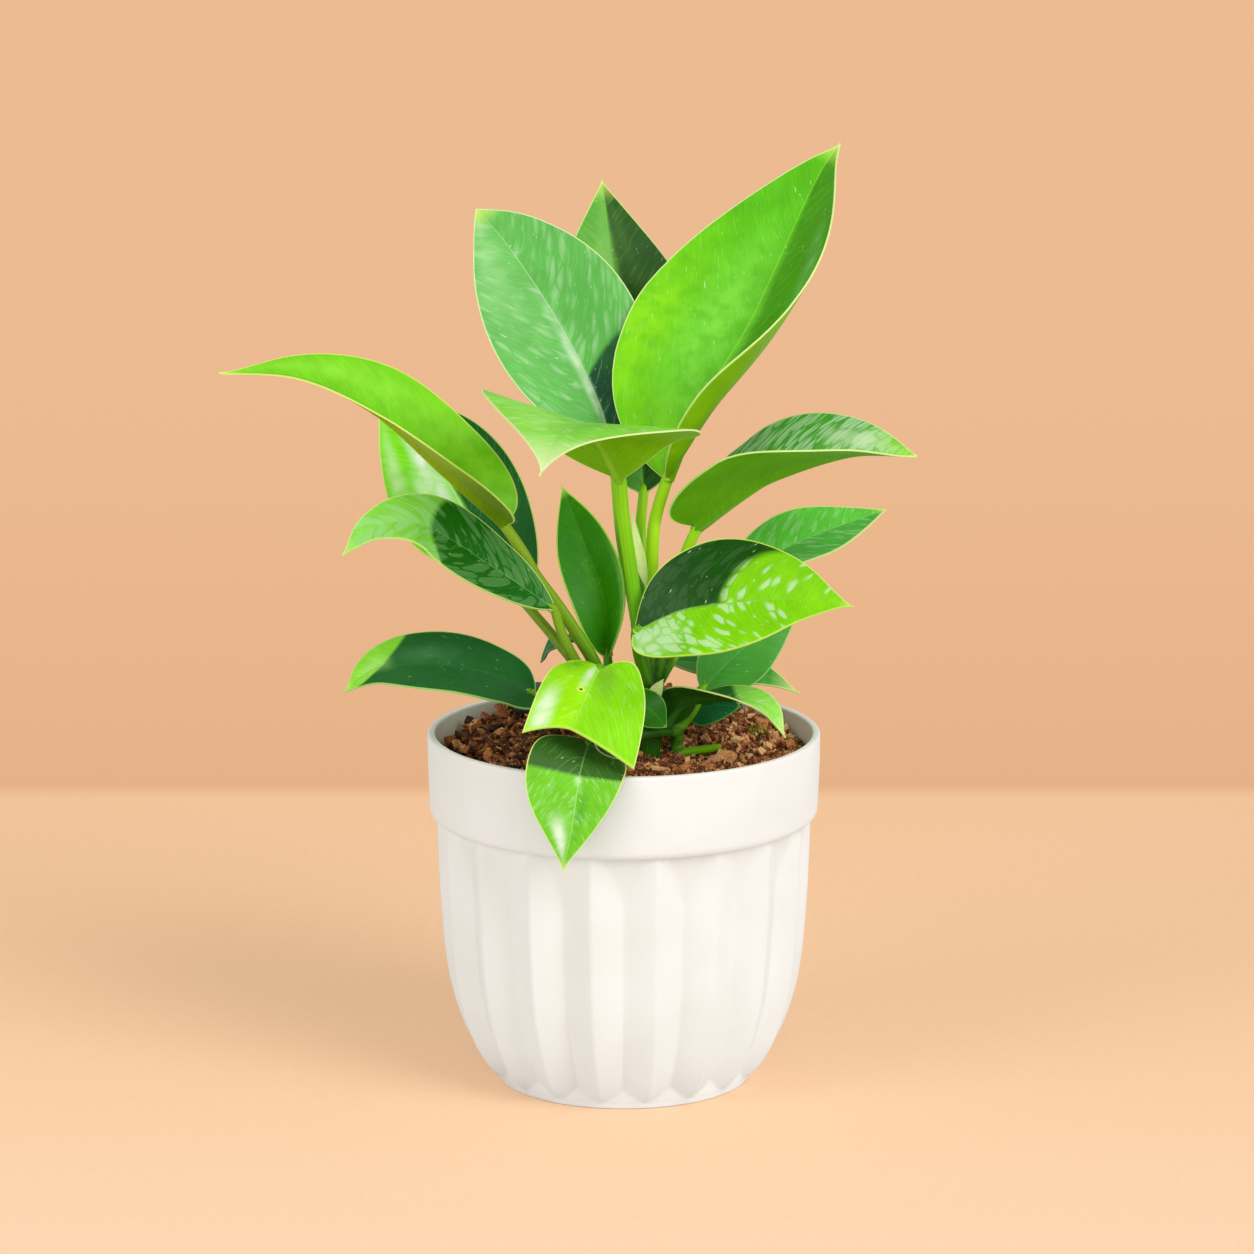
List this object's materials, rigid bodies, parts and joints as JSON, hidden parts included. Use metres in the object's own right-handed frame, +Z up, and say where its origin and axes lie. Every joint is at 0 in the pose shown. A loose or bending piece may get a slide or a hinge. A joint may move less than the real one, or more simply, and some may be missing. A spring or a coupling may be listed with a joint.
{
  "type": "potted philodendron",
  "caption": "Young bushy philodendron with glossy pointed leaves on upright stalks, rooted in bark soil in a round off-white pot with a pleated body and a plain collar.",
  "frame": {"origin": "centre of the pot's flat underside", "axes": "+Z up along the pot's axis, -Y towards the front of the plant, +X to the viewer's right"},
  "size_m": [0.2442, 0.1847, 0.3324],
  "materials": {
    "pot_plastic": "matte",
    "bark_soil": "rough bark and coir chips",
    "slate_pebble": "smooth",
    "stalk_green": "satin",
    "leaf_green": "glossy, waxy",
    "sheath_pale": "papery"
  },
  "bodies": {
    "root": {"pot": "pot_plastic", "soil": "bark_soil", "pebble": "slate_pebble", "shoot_main": "stalk_green", "shoot_left": "stalk_green", "shoot_right": "stalk_green", "leaf_top_right": "leaf_green", "leaf_top_left": "leaf_green", "leaf_top_back": "leaf_green", "leaf_front_high": "leaf_green", "leaf_right_high": "leaf_green", "leaf_right_back": "leaf_green", "leaf_right_broad": "leaf_green", "leaf_right_shaded": "leaf_green", "leaf_right_drooping": "leaf_green", "leaf_right_small": "leaf_green", "leaf_soil_right": "leaf_green", "leaf_left_long": "leaf_green", "leaf_left_back": "leaf_green", "leaf_left_middle": "leaf_green", "leaf_left_low": "leaf_green", "leaf_front_centre": "leaf_green", "leaf_over_rim": "leaf_green", "leaf_middle": "leaf_green", "leaf_small_back": "leaf_green", "leaf_small_inner": "leaf_green", "sheath_high": "sheath_pale", "sheath_low": "sheath_pale"}
  },
  "joints": []
}
